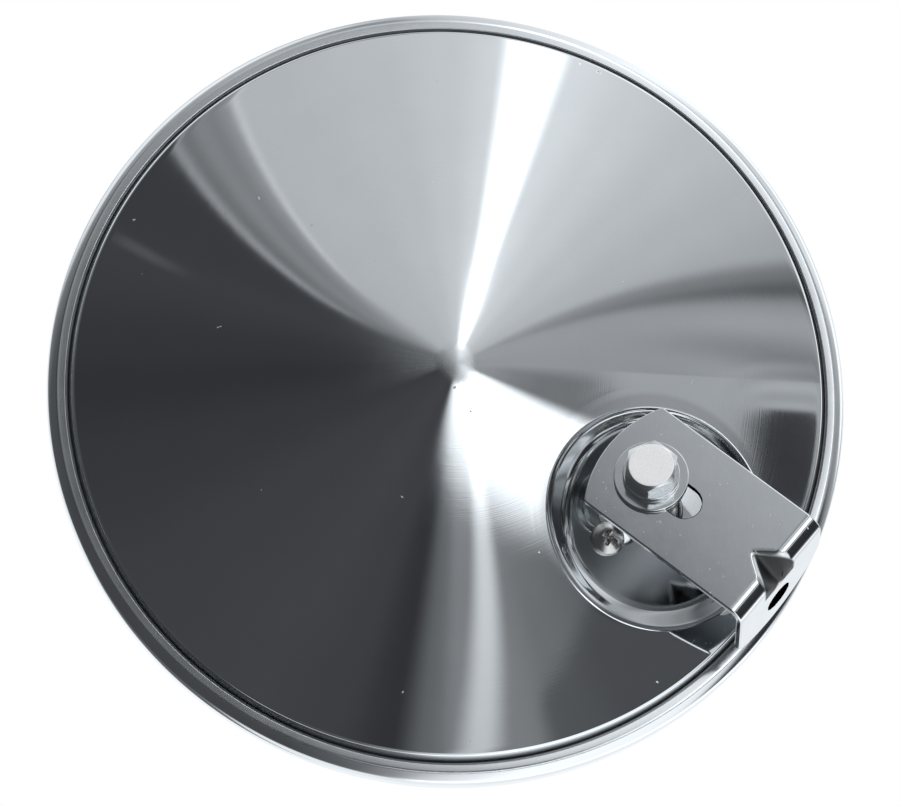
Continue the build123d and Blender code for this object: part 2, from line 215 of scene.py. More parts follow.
def add_piece(name, body, place, shape, slot, replaces):
    """Adds a visible piece from (verts, faces, normals) in millimetres in the frame `place`.
    The object stands at the frame's origin with the room's axes, so its box is not a turned one."""
    verts, faces, normals = shape
    turned = np.array(place.to_3x3()).T
    mesh = bpy.data.meshes.new(name)
    mesh.from_pydata((np.asarray(verts) @ turned * MM).tolist(), [], faces)
    mesh.update()
    mesh.polygons.foreach_set("use_smooth", [True] * len(mesh.polygons))
    mesh.normals_split_custom_set_from_vertices([tuple(n) for n in np.asarray(normals) @ turned])
    piece = bpy.data.objects.new(name, mesh)
    bpy.context.scene.collection.objects.link(piece)
    piece.location = place.translation
    mesh.materials.append(MATERIALS[slot])
    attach(piece, body)
    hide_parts(replaces)


def grid_faces(rows, cols, wrap_rows, start=0):
    faces = []
    last = rows if wrap_rows else rows - 1
    for i in range(last):
        a = start + i * cols
        b = start + (i + 1) % rows * cols
        for j in range(cols):
            k = (j + 1) % cols
            faces.append((a + j, a + k, b + k, b + j))
    return faces


def grid_mesh(points, wrap_rows=False):
    """(verts, faces, normals) of a grid, where a row that is one point becomes one vertex."""
    rows, cols, _ = points.shape
    normals = grid_normals(points, wrap_rows)
    faces = grid_faces(rows, cols, wrap_rows)
    verts = points.reshape(-1, 3)
    normals = normals.reshape(-1, 3)
    if wrap_rows:
        return verts, faces, normals
    merge = {}
    for row in (0, rows - 1):
        if np.ptp(points[row], axis=0).max() < 1e-6:
            first = row * cols
            merge.update({first + j: first for j in range(1, cols)})
    faces = [tuple(dict.fromkeys(merge.get(v, v) for v in face)) for face in faces]
    keep = [v for v in range(len(verts)) if v not in merge]
    number = {v: k for k, v in enumerate(keep)}
    faces = [tuple(number[v] for v in face) for face in faces]
    return verts[keep], faces, normals[keep]


def join_meshes(*parts):
    verts, faces, normals, start = [], [], [], 0
    for v, f, n in parts:
        verts.append(v)
        normals.append(n)
        faces += [tuple(k + start for k in face) for face in f]
        start += len(v)
    return np.concatenate(verts), faces, np.concatenate(normals)


def rounded(corners, radii, steps=7, closed=True):
    """Outline through the corners, each corner rounded to its radius."""
    points = []
    count = len(corners)
    for i, (corner, radius) in enumerate(zip(corners, radii)):
        corner = np.array(corner, float)
        if radius <= 0 or (not closed and i in (0, count - 1)):
            points.append(corner)
            continue
        before = unit(np.array(corners[i - 1], float) - corner)
        after = unit(np.array(corners[(i + 1) % count], float) - corner)
        half = np.arccos(np.clip(before @ after, -1, 1)) / 2
        centre = corner + unit(before + after) * radius / sin(half)
        start = corner + before * radius / np.tan(half) - centre
        end = corner + after * radius / np.tan(half) - centre
        sweep = pi - 2 * half
        for k in range(steps + 1):
            t = k / steps
            points.append(centre + (start * sin((1 - t) * sweep) + end * sin(t * sweep)) / sin(sweep))
    return np.array(points)


def turn(section, count):
    """Grid of a section of (radius, height) points turned about Z."""
    angle = np.linspace(0, 2 * pi, count, endpoint=False)
    r, z = section[:, 0], section[:, 1]
    grid = np.empty((len(section), count, 3))
    grid[..., 0] = r[:, None] * np.cos(angle)
    grid[..., 1] = r[:, None] * np.sin(angle)
    grid[..., 2] = z[:, None]
    return grid


def ring_section(inner, outer, low, high, radius):
    return rounded([(inner, low), (outer, low), (outer, high), (inner, high)], [radius] * 4)


def arc(radius, start, end, steps):
    """(radius, height) points on a ball about the origin, from polar angle start to end."""
    angle = np.linspace(start, end, steps)
    return np.stack([radius * np.sin(angle), radius * np.cos(angle)], 1)


def smooth_min(a, b, width):
    h = np.maximum(width - np.abs(a - b), 0) / width
    return np.minimum(a, b) - h * h * width / 4


def smooth_max(a, b, width):
    return -smooth_min(-a, -b, width)


# ---- head: back
RAYS = 400
MOUTH_BLEND = 0.9        # height over which the pocket's mouth and floor are rounded
FLOOR_BLEND = 1.5
DOME_FILLET = 1.1
FLOOR_SPAN = (10.5, 21)  # distances from the ball's axis, plain floor and then the shaped wall
WALL_SPAN = (21.5, 33.4)
CONE_EDGE_R = 99.1       # where the cone's own rings end and the rounded edge begins


def back_height(radius):
    """Height of the cone with its rounded tip."""
    tip_centre = CONE_TOP - TIP_R / cos(CONE_SLOPE)
    ball = tip_centre + np.sqrt(np.maximum(TIP_R**2 - radius**2, 0))
    cone = CONE_TOP - radius * CONE_FALL
    return np.where(radius < TIP_R * sin(CONE_SLOPE), ball, cone)


def socket_to_head(x, y, h):
    """From the pocket's own frame, tilted like the cone, to the head's frame."""
    return np.stack([
        OFFSET + x * cos(CONE_SLOPE) + h * sin(CONE_SLOPE),
        y,
        BALL_Z - x * sin(CONE_SLOPE) + h * cos(CONE_SLOPE),
    ], -1)


def back_in_socket(x, y):
    """Height of the cone over the pocket's frame."""
    h = np.zeros_like(x)
    for _ in range(6):
        p = socket_to_head(x, y, h)
        top = back_height(np.hypot(p[..., 0], p[..., 1]))
        h = (top - BALL_Z + x * sin(CONE_SLOPE)) / cos(CONE_SLOPE)
    return h


def pocket_wall(x, y):
    """Height of the pocket's flared wall, whose circle drifts and grows from floor to mouth."""
    cone = CONE_TOP - OFFSET * CONE_FALL
    depth = (cone - BALL_Z) * cos(CONE_SLOPE) + BALL_ABOVE_FLOOR
    (floor_x, floor_y), (mouth_x, mouth_y) = POCKET_FLOOR_AT, POCKET_MOUTH_AT
    drift_x, drift_y = mouth_x - floor_x, mouth_y - floor_y
    flare = POCKET_MOUTH_R - POCKET_FLOOR_R
    qx, qy = x - floor_x, y - floor_y
    a = drift_x**2 + drift_y**2 - flare**2
    b = qx * drift_x + qy * drift_y + POCKET_FLOOR_R * flare
    c = qx**2 + qy**2 - POCKET_FLOOR_R**2
    return FLOOR_Z + depth * (b - np.sqrt(b * b - a * c)) / a


def dome_outline():
    """The dome over the ball, from its mouth down to a fillet on the pocket's floor."""
    end = np.arccos((FLOOR_Z + DOME_FILLET) / DOME_OUT) * 0.985
    points = list(arc(DOME_OUT, MOUTH_HALF_ANGLE, end, 12))
    bend = np.array([DOME_OUT, FLOOR_Z])
    foot = np.array([DOME_OUT + DOME_FILLET, FLOOR_Z])
    for t in np.linspace(0.12, 1, 8):
        points.append((1 - t) ** 2 * points[-1] + 2 * t * (1 - t) * bend + t * t * foot)
    return points


def back_rings():
    """Outer skin of the back as rings round the ball: dome, pocket, cone, step and flange."""
    angle = np.linspace(0, 2 * pi, RAYS, endpoint=False)
    ca, sa = np.cos(angle), np.sin(angle)
    rings = [socket_to_head(r * ca, r * sa, np.full(RAYS, h)) for r, h in dome_outline()]
    for reach in np.concatenate([np.linspace(*FLOOR_SPAN, 7), np.linspace(*WALL_SPAN, 80)]):
        x, y = reach * ca, reach * sa
        floor_and_wall = smooth_max(np.full(RAYS, FLOOR_Z), pocket_wall(x, y), FLOOR_BLEND)
        rings.append(socket_to_head(x, y, smooth_min(back_in_socket(x, y), floor_and_wall, MOUTH_BLEND)))
    start = rings[-1][:, :2]
    edge = rounded(
        [(CONE_EDGE_R, back_height(CONE_EDGE_R)), (CONE_BASE_R, CONE_BASE_Z), (STEP_FOOT_R, FLANGE_Z),
         (FLANGE_R, FLANGE_Z)],
        [0, 0.9, 0.5, 0],
        closed=False,
    )
    end = start + ray_reach(start, ca, sa, CONE_EDGE_R)[:, None] * np.stack([ca, sa], 1)
    for t in np.linspace(0, 1, 71)[1:-1]:
        p = start + (end - start) * t
        rings.append(np.column_stack([p, back_height(np.hypot(p[:, 0], p[:, 1]))]))
    around = np.arctan2(end[:, 1], end[:, 0])
    for r, z in edge:
        rings.append(np.column_stack([r * np.cos(around), r * np.sin(around), np.full(RAYS, z)]))
    return np.array(rings)


def ray_reach(start, ca, sa, radius):
    """How far each ray from start runs before it meets the circle of that radius."""
    b = start[:, 0] * ca + start[:, 1] * sa
    c = (start**2).sum(1) - radius**2
    return -b + np.sqrt(b * b - c)


def shell_mesh():
    outer = back_rings()[::-1]
    normals = grid_normals(outer, False)
    inner = outer - normals * SHEET
    grid = np.concatenate([outer, inner[::-1]])
    faces = grid_faces(len(grid), RAYS, True)
    return grid.reshape(-1, 3), faces, np.concatenate([normals, -normals[::-1]]).reshape(-1, 3)


# ---- head: bezel and glass
def bezel_mesh():
    back_in, front_in = BEZEL_BACK - BEZEL_SHEET, BEZEL_FRONT + BEZEL_SHEET
    wall_in = RIM_R - BEZEL_SHEET
    lip = BEZEL_SHEET * 0.45
    section = rounded(
        [(BEZEL_MOUTH_BACK, BEZEL_BACK), (RIM_R, BEZEL_BACK), (RIM_R, BEZEL_FRONT),
         (BEZEL_MOUTH_FRONT, BEZEL_FRONT), (BEZEL_MOUTH_FRONT, front_in), (wall_in, front_in),
         (wall_in, back_in), (BEZEL_MOUTH_BACK, back_in)],
        [lip, BEZEL_BACK_ROLL, BEZEL_FRONT_ROLL, lip, lip,
         BEZEL_FRONT_ROLL - BEZEL_SHEET, BEZEL_BACK_ROLL - BEZEL_SHEET, lip],
        steps=10,
    )
    return grid_mesh(turn(section[::-1], 360), wrap_rows=True)


def lens_mesh(front, back, radius, edge):
    """Dished disc between two spheres about the glass's centre of curvature."""
    def cap(curve):
        r = np.linspace(0, radius - edge, 30)
        return np.stack([r, GLASS_CENTRE - np.sqrt(curve**2 - r**2)], 1)
    face, rear = cap(front), cap(back)
    rim_front = GLASS_CENTRE - sqrt(front**2 - radius**2)
    rim_back = GLASS_CENTRE - sqrt(back**2 - radius**2)
    rim = np.array([[radius, rim_front + edge], [radius, rim_back - edge]])
    return grid_mesh(turn(np.vstack([face, rim, rear[::-1]]), 240))


# ---- screws, in the socket's frame
def cross_depth(x, y):
    """Depth of the cross-shaped driver recess."""
    arm, half, deep, soft = 2.3, 0.48, 2.0, 0.12
    reach = np.hypot(x, y)
    floor = deep * np.clip(1.1 - reach / (arm + 0.3), 0, 1)
    across = np.minimum(np.abs(x), np.abs(y))
    blade = np.clip((half + soft - across) / (2 * soft), 0, 1)
    end = np.clip((arm - reach) / 0.25, 0, 1)
    return floor * blade * blade * (3 - 2 * blade) * end


def screw_mesh():
    base = FLOOR_Z + 0.05
    dome, edge_round, chamfer = 6.2, 0.35, 0.5
    r = np.linspace(0, SCREW_HEAD_R - edge_round, 60)
    crown = np.stack([r, base + SCREW_HEAD - dome + np.sqrt(dome**2 - r**2)], 1)
    edge = crown[-1, 1]
    head = rounded(
        [tuple(crown[-1]), (SCREW_HEAD_R, edge - 0.45), (SCREW_HEAD_R, base), (SCREW_R, base),
         (SCREW_R, SCREW_LOW + chamfer), (SCREW_R - chamfer, SCREW_LOW), (0, SCREW_LOW)],
        [0, edge_round, 0.25, 0.1, 0, 0, 0],
        steps=8, closed=False,
    )[1:]
    grid = turn(np.vstack([crown, head]), 128)
    count = len(crown)
    grid[:count, :, 2] -= cross_depth(grid[:count, :, 0], grid[:count, :, 1])
    return grid_mesh(grid[::-1])


def socket_place(points, angle):
    """Moves points from a screw's own axis to its place round the socket, in the head's frame."""
    turn_by = radians(angle + DRIVER_TURN)
    x = points[:, 0] * cos(turn_by) - points[:, 1] * sin(turn_by)
    y = points[:, 0] * sin(turn_by) + points[:, 1] * cos(turn_by)
    x = x + SCREW_CIRCLE_R * cos(radians(angle))
    y = y + SCREW_CIRCLE_R * sin(radians(angle))
    return socket_to_head(x, y, points[:, 2])


def screws_mesh():
    verts, faces, normals = screw_mesh()
    parts = []
    for angle in SCREW_AT:
        placed = socket_place(verts, angle)
        tips = socket_place(verts + normals * 0.01, angle)
        parts.append((placed, faces, unit(tips - placed)))
    return join_meshes(*parts)


# ---- stud and clamp, in the stud's frame
def stud_mesh():
    neck = np.arcsin(NECK_R / BALL_R)
    ball = arc(BALL_R, pi, neck + 0.01, 40)
    shoulder, chamfer = 1.6, 0.5
    tapped, tap_end = BOLT_R + 0.08, BARREL_TOP - TAP_DEPTH
    upper = rounded(
        [(NECK_R, 7.4), (NECK_R, BARREL_FOOT), (BARREL_R - shoulder, BARREL_FOOT),
         (BARREL_R, BARREL_FOOT + shoulder), (BARREL_R, BARREL_TOP - chamfer),
         (BARREL_R - chamfer, BARREL_TOP), (tapped, BARREL_TOP), (tapped, tap_end), (0, tap_end)],
        [0, 0.6, 0.15, 0.15, 0.12, 0.12, 0.1, 0.1, 0],
        closed=False,
    )
    return grid_mesh(turn(np.vstack([ball, upper]), 96))


def washer_mesh(outer, low, thick, radius):
    section = ring_section(BOLT_R + 0.35, outer, low, low + thick, radius)
    return grid_mesh(turn(section, 128), wrap_rows=True)


def lock_washer_mesh():
    """Split spring washer: a rounded rectangle swept nearly all the way round, with slanted ends."""
    section = ring_section(BOLT_R + 0.2, LOCK_WASHER_R, LOCK_LOW, LOCK_LOW + LOCK_WASHER, 0.25)
    r, z = section[:, 0], section[:, 1]
    slant = (z - LOCK_LOW - LOCK_WASHER / 2) * LOCK_SLANT
    rings = []
    for t in np.linspace(0, 1, 150):
        angle = pi + (LOCK_GAP * (1 - 2 * t) - slant) / r + 2 * pi * t
        rings.append(np.stack([r * np.cos(angle), r * np.sin(angle), z], 1))
    grid = np.array(rings)
    count = len(section)
    ends = []
    for ring, outward in ((grid[0], 1), (grid[-1], -1)):
        side = unit(np.cross(ring[1] - ring[0], ring[count // 2] - ring[0]))
        side = side * outward * np.sign(side[1])
        ends.append((ring, [tuple(range(count))[::-outward]], np.repeat(side[None], count, 0)))
    return join_meshes(grid_mesh(grid[::-1]), *ends)


def hex_radius(angle, flats):
    """Distance from the axis to a hexagon's side, with slightly eased corners."""
    local = (angle + pi / 6) % (pi / 3) - pi / 6
    plain = flats / 2 / np.cos(local)
    return smooth_min(plain, np.full_like(plain, flats / sqrt(3) - 0.04), 0.12)


def bolt_mesh():
    """Hexagon head with a chamfered crown, then the shank, as rows of (radius, height) round the axis."""
    count = 288
    around = np.linspace(0, 2 * pi, count, endpoint=False)
    corner = hex_radius(around, BOLT_FLATS)
    crown_r, chamfer = BOLT_FLATS * 0.455, 0.5
    rows = [(0, BOLT_TOP), (crown_r * 0.6, BOLT_TOP)]
    for past in (0, 0.15, 0.25, 0.35):
        rows.append((crown_r + past - 0.25, BOLT_TOP - 0.0875 * (past / 0.35) ** 2))
    for t in (0.35, 0.7, 0.9, 0.97):
        r = crown_r + 0.1 + (corner - crown_r - 0.1) * t
        rows.append((r, BOLT_TOP - 0.04 - (r - crown_r) * chamfer))
    for down in (0.06, 0.16, 0.3):
        rows.append((corner, BOLT_TOP - 0.02 - (corner - crown_r) * chamfer - down))
    rows += [(corner, BOLT_LOW + 0.25), (corner - 0.05, BOLT_LOW + 0.06), (corner - 0.2, BOLT_LOW)]
    end, point = BOLT_LOW - BOLT_LENGTH, 0.9
    rows += list(rounded(
        [(BOLT_R + 0.3, BOLT_LOW), (BOLT_R, BOLT_LOW), (BOLT_R, end + point), (BOLT_R - point, end),
         (0, end)],
        [0, 0.1, 0.05, 0.05, 0], closed=False,
    ))
    angle = around + radians(BOLT_TURN)
    grid = np.empty((len(rows), count, 3))
    for row, (r, z) in zip(grid, rows):
        row[:, 0] = r * np.cos(angle)
        row[:, 1] = r * np.sin(angle)
        row[:, 2] = z
    return grid_mesh(grid[::-1])


# ---- bracket: a flat outline folded over the bend, in the plate's frame
BEND_START = BRACKET_OUT - BEND_R
BEND_END = BEND_START + BEND_R * pi / 2
HOLE_AT = BEND_END + HOLE_DROP - BEND_R
OUTER_ROUND = 0.45
HOLE_ROUND = 0.25
NUDGE = 0.02             # small step for finding directions on the pressed face


def folded(u, v):
    """Outer face of the bracket, unpressed: points and normals for places on the flat outline."""
    t = np.clip((u - BEND_START) / BEND_R, 0, pi / 2)
    x = np.minimum(u, BEND_START) + BEND_R * np.sin(t)
    z = -BEND_R * (1 - np.cos(t)) - np.maximum(u - BEND_END, 0)
    normal = np.stack([np.sin(t), np.zeros_like(t), np.cos(t)], -1)
    return np.stack([x, v, z], -1), normal


def dart_press(p):
    """How far the pressed dart pushes a point in, along the bend's bisector."""
    foot = np.array([BRACKET_OUT - DART_REACH, 0, 0])
    valley = np.array([BRACKET_OUT, 0, -DART_DROP]) - foot
    flank = np.array([BRACKET_OUT, DART_HALF, 0]) - foot
    side = np.cross(valley, flank)
    q = p - foot
    q[..., 1] = np.sqrt(p[..., 1] ** 2 + 0.9**2) - 0.35
    push = (q @ side) / (side[0] + side[2]) * sqrt(2)
    return smooth_max(push, np.zeros_like(push), 1.5)


def bracket_point(u, v, depth):
    p, normal = folded(u, v)
    push = dart_press(p.copy())
    p = p - normal * np.asarray(depth)[..., None]
    p[..., 0] -= push / sqrt(2)
    p[..., 2] -= push / sqrt(2)
    return p


def bracket_normal(u, v, depth):
    du = bracket_point(u + NUDGE, v, depth) - bracket_point(u - NUDGE, v, depth)
    dv = bracket_point(u, v + NUDGE, depth) - bracket_point(u, v - NUDGE, depth)
    return unit(np.cross(du, dv))


def end_circle(length, bulge):
    """Circle of a curved end through its two corners: centre and radius."""
    low, high = np.array([length[0], -BRACKET_LOW]), np.array([length[1], BRACKET_HIGH])
    chord = high - low
    half = np.linalg.norm(chord) / 2
    radius = (half**2 + bulge**2) / (2 * bulge)
    outward = np.array([chord[1], -chord[0]]) / (2 * half)
    return (low + high) / 2 - outward * (radius - bulge), radius


PLATE_END = end_circle(BRACKET_IN, PLATE_BULGE)
LEG_END = end_circle(LEG_DROP, LEG_BULGE)


def end_length(v, circle):
    centre, radius = circle
    return centre[0] + np.sqrt(radius**2 - (v - centre[1]) ** 2)


def plate_end(v):
    return -end_length(v, PLATE_END)


def leg_end(v):
    return BEND_END - BEND_R + end_length(v, LEG_END)


def eased_corner(a, middle, b):
    """Points between a and b on the quadratic curve that leans to middle."""
    a, middle, b = np.array(a), np.array(middle), np.array(b)
    places = np.linspace(0, 1, 7)[1:-1]
    return [tuple((1 - t) ** 2 * a + 2 * t * (1 - t) * middle + t * t * b) for t in places]


def outer_outline():
    """The strip's two curved ends and two long edges, with small rounded corners."""
    corner = 0.7
    low, high = -BRACKET_LOW, BRACKET_HIGH
    v = np.linspace(low + corner, high - corner, 41)
    far = [(leg_end(k), k) for k in v]
    near = [(plate_end(k), k) for k in v[::-1]]
    leg_low, leg_high = leg_end(low), leg_end(high)
    plate_low, plate_high = plate_end(low), plate_end(high)
    points = far + eased_corner(far[-1], (leg_high, high), (leg_high - corner, high))
    points += [(u, high) for u in np.linspace(leg_high - corner, plate_high + corner, 90)]
    points += eased_corner(points[-1], (plate_high, high), near[0]) + near
    points += eased_corner(near[-1], (plate_low, low), (plate_low + corner, low))
    points += [(u, low) for u in np.linspace(plate_low + corner, leg_low - corner, 90)]
    return points + eased_corner(points[-1], (leg_low, low), far[0])


def outline_loops():
    """The strip's outline, slot and hole: (u, v) points, outward directions and the edge's rounding."""
    half_turn = np.linspace(-pi / 2, pi / 2, 25)
    slot = [(SLOT_TRAVEL + SLOT_HALF * cos(a), SLOT_HALF * sin(a)) for a in half_turn]
    slot += [(-SLOT_HALF * cos(a), -SLOT_HALF * sin(a)) for a in half_turn]
    full_turn = np.linspace(0, 2 * pi, 64, endpoint=False)
    hole = [(HOLE_AT + HOLE_R * cos(a), HOLE_R * sin(a)) for a in full_turn]
    loops = []
    outer = (outer_outline(), OUTER_ROUND, 1)
    for points, inset, sign in (outer, (slot, HOLE_ROUND, -1), (hole, HOLE_ROUND, -1)):
        points = np.array(points)
        tangent = unit(np.roll(points, -1, 0) - np.roll(points, 1, 0))
        outward = np.stack([tangent[:, 1], -tangent[:, 0]], 1) * sign
        loops.append((points, outward, inset))
    return loops


def inside_strip(p, margin):
    """Is a flat point on the strip, that margin away from every edge?"""
    u, v = p
    if not -BRACKET_LOW + margin < v < BRACKET_HIGH - margin:
        return False
    if not plate_end(v) + margin < u < leg_end(v) - margin:
        return False
    near_slot = np.hypot(u - min(max(u, 0), SLOT_TRAVEL), v)
    return near_slot > SLOT_HALF + margin and np.hypot(u - HOLE_AT, v) > HOLE_R + margin


def strip_points():
    """Points inside the flat strip, finer round the dart and the bend."""
    coarse, fine = 1.6, 0.55
    first, last = BEND_START - 14, BEND_END + 12
    points = []

    def lattice(us, vs, margin, wanted):
        points.extend((u, v) for u in us for v in vs if wanted(u, v) and inside_strip((u, v), margin))

    def on_bend(u):
        return BEND_START - 1 < u < BEND_END + 1

    middle = np.arange(first + 0.5, last - 0.5, fine)
    beside = np.arange(first + 0.5, last - 0.5, coarse)
    edges = np.concatenate([np.arange(-15, -9.6, coarse), np.arange(10.2, 17.2, coarse)])
    lattice(np.arange(-16, BEND_END + 30, coarse), np.arange(-16, 17.6, coarse), 0.9,
            lambda u, v: not first < u < last)
    lattice(middle, np.arange(-15.4, 17.2, fine), 0.75, lambda u, v: abs(v) < 9.5 or on_bend(u))
    lattice(beside, edges, 0.75, lambda u, v: not on_bend(u))
    return points


def flat_triangles(loops):
    """Triangles over the flat strip, through the inset loops and the points inside."""
    points, edges = [], []
    for outline, outward, inset in loops:
        start = len(points)
        points += [tuple(p) for p in outline - outward * inset]
        edges += [(start + k, start + (k + 1) % len(outline)) for k in range(len(outline))]
    rim_count = len(points)
    points += strip_points()
    out = delaunay_2d_cdt([Vector(p) for p in points], edges, [], 0, 1e-6)
    flat = np.array([tuple(p) for p in out[0]])
    order = {sources[0]: k for k, sources in enumerate(out[3]) if sources}
    rims = [order[k] for k in range(rim_count)]
    triangles = []
    for tri in out[2]:
        a, b, c = flat[list(tri)]
        longest = max(np.linalg.norm(b - a), np.linalg.norm(c - b), np.linalg.norm(a - c))
        sliver = abs(np.linalg.det([b - a, c - a])) < longest * 0.001
        if inside_strip((a + b + c) / 3, 0.1) and not sliver:
            triangles.append(tuple(tri))
    return flat, triangles, rims


def edge_rows(outline, outward, inset):
    """Rows of points and normals round one edge of the strip, from its face over to its back."""
    size = len(outline)
    rows, row_normals = [], []
    for a in np.concatenate([np.linspace(0, pi / 2, 7)[1:], np.linspace(pi / 2, pi, 7)[:-1]]):
        on_face_side = len(rows) < 6
        depth = inset * (1 - cos(a)) if on_face_side else BRACKET_T - inset * (1 + cos(a))
        depths = np.full(size, depth)
        u, v = (outline - outward * inset * (1 - sin(a))).T
        p = bracket_point(u, v, depths)
        q = bracket_point(u + outward[:, 0] * NUDGE, v + outward[:, 1] * NUDGE, depths)
        rows.append(p)
        row_normals.append(unit(unit(q - p) * sin(a) + bracket_normal(u, v, depths) * cos(a)))
    return rows, row_normals


def bracket_mesh():
    loops = outline_loops()
    flat, triangles, rims = flat_triangles(loops)
    u, v = flat[:, 0], flat[:, 1]
    count = len(flat)
    top, bottom = np.zeros(count), np.full(count, BRACKET_T)
    verts = [bracket_point(u, v, top), bracket_point(u, v, bottom)]
    normals = [bracket_normal(u, v, top), -bracket_normal(u, v, bottom)]
    faces = triangles + [tuple(k + count for k in tri[::-1]) for tri in triangles]
    start, rim_start = 2 * count, 0
    for outline, outward, inset in loops:
        size = len(outline)
        rim = np.array(rims[rim_start:rim_start + size])
        rim_start += size
        rows, row_normals = edge_rows(outline, outward, inset)
        verts += rows
        normals += row_normals
        rings = [rim] + [start + k * size + np.arange(size) for k in range(len(rows))] + [rim + count]
        start += len(rows) * size
        for a, b in zip(rings, rings[1:]):
            for k in range(size):
                m = (k + 1) % size
                faces.append((int(a[k]), int(b[k]), int(b[m]), int(a[m])))
    return np.concatenate(verts), faces, np.concatenate(normals)


# ---- shader helpers
class Net:
    """Small wrapper that wires shader nodes from Python expressions."""

    def __init__(self, tree):
        self.tree = tree

    def node(self, kind, inputs=None, **settings):
        """A new node, with inputs given by name or number."""
        made = self.tree.nodes.new(kind)
        for key, value in settings.items():
            setattr(made, key, value)
        for key, value in (inputs or {}).items():
            self.set(made.inputs[key], value)
        return made

    def set(self, socket, value):
        if isinstance(value, Value):
            value = value.socket
        if isinstance(value, bpy.types.NodeSocket):
            self.tree.links.new(value, socket)
        else:
            socket.default_value = value

    def math(self, operation, *values):
        made = self.node("ShaderNodeMath", dict(enumerate(values)), operation=operation)
        return Value(self, made.outputs[0])

    def vector(self, operation, *values):
        made = self.node("ShaderNodeVectorMath", dict(enumerate(values)), operation=operation)
        return Value(self, made.outputs["Value" if operation in ("DOT_PRODUCT", "LENGTH") else "Vector"])

    def dot(self, place, direction):
        return self.vector("DOT_PRODUCT", place, tuple(direction))

    def full_turn(self, value):
        """A value in degrees brought into 0 to 360."""
        return self.math("FLOORED_MODULO", value, 360)

    def ramp(self, value, stops):
        """Grey by a 0 to 1 value, through (place, grey) stops."""
        made = self.node("ShaderNodeValToRGB", {0: value})
        made.color_ramp.interpolation = "EASE"
        elements = made.color_ramp.elements
        while len(elements) < len(stops):
            elements.new(0.5)
        for element, (place, grey) in zip(elements, stops):
            element.position = place
            element.color = (grey, grey, grey, 1)
        return Value(self, made.outputs[0])

    def step(self, value, low, high):
        """Smooth step from 0 at low to 1 at high, either way round."""
        inputs = {"Value": value, "From Min": low, "From Max": high}
        made = self.node("ShaderNodeMapRange", inputs, interpolation_type="SMOOTHSTEP")
        return Value(self, made.outputs[0])

    def noise(self, vector, scale, detail, rough):
        inputs = {"Vector": vector, "Scale": scale, "Detail": detail, "Roughness": rough}
        return Value(self, self.node("ShaderNodeTexNoise", inputs).outputs[0])

    def combined(self, x, y, z):
        return Value(self, self.node("ShaderNodeCombineXYZ", {0: x, 1: y, 2: z}).outputs[0])

    def blend(self, factor, a, b):
        return self.node("ShaderNodeMix", {0: factor, 6: a, 7: b}, data_type="RGBA").outputs[2]

    def tint(self, grey, dark, light):
        """Colour from the dark tone at 0 to the light one at 1."""
        return self.blend(grey, (*dark, 1), (*light, 1))

    def dimmed(self, colour, factor):
        return self.node("ShaderNodeVectorMath", {0: colour, "Scale": factor}, operation="SCALE").outputs[0]


class Value:
    """A shader socket that takes part in sums."""

    def __init__(self, net, socket):
        self.net, self.socket = net, socket

    def __add__(self, other):
        return self.net.math("ADD", self, other)

    def __mul__(self, other):
        return self.net.math("MULTIPLY", self, other)

    def __sub__(self, other):
        return self.net.math("SUBTRACT", self, other)

    def __rsub__(self, other):
        return self.net.math("SUBTRACT", other, self)

    def __truediv__(self, other):
        return self.net.math("DIVIDE", self, other)

    def __abs__(self):
        return self.net.math("ABSOLUTE", self)

    def cos(self):
        return self.net.math("COSINE", self)

    def sin(self):
        return self.net.math("SINE", self)


def mixed(factor, a, b):
    """From value a at factor 0 to value b at factor 1."""
    return a + (b - a) * factor


def window(value, start, full, fall, end):
    """1 between full and fall, easing to 0 at start and end."""
    return value.net.step(value, start, full) * value.net.step(value, end, fall)


def new_material(name):
    """A material, the helper that wires it and the object's own coordinates."""
    material = bpy.data.materials.new(name)
    material.use_nodes = True
    net = Net(material.node_tree)
    return material, net, Value(net, net.node("ShaderNodeTexCoord").outputs["Object"])


def finish_material(material, net, colour, roughness, metallic=1.0, grain=None, strength=0.5, depth=0.0):
    """Sets the shader's inputs, with a bump of that strength and depth in metres where a grain is given."""
    shader = material.node_tree.nodes["Principled BSDF"]
    for key, value in (("Base Color", colour), ("Roughness", roughness), ("Metallic", metallic)):
        net.set(shader.inputs[key], value)
    if grain:
        made = net.node("ShaderNodeBump", {"Strength": strength, "Distance": depth, "Height": grain})
        net.set(shader.inputs["Normal"], made.outputs[0])
    return shader


# ---- materials
LOWER_SIDE = Vector((0.35, 0, -0.94))    # from the pocket's middle to the lower part of its wall


def pocket_zones(net, place):
    """Masks of the whole pocket and the lower part of its wall, where the steel's colour carries painted shade."""
    socket = SOCKET_POINT - HEAD.translation
    far = net.vector("LENGTH", net.vector("SUBTRACT", place, tuple(socket)))
    low_side = net.dot(place, LOWER_SIDE) - socket.dot(LOWER_SIDE)
    return net.step(far, 32.5 * MM, 30.5 * MM), net.step(low_side, 16 * MM, 23 * MM)


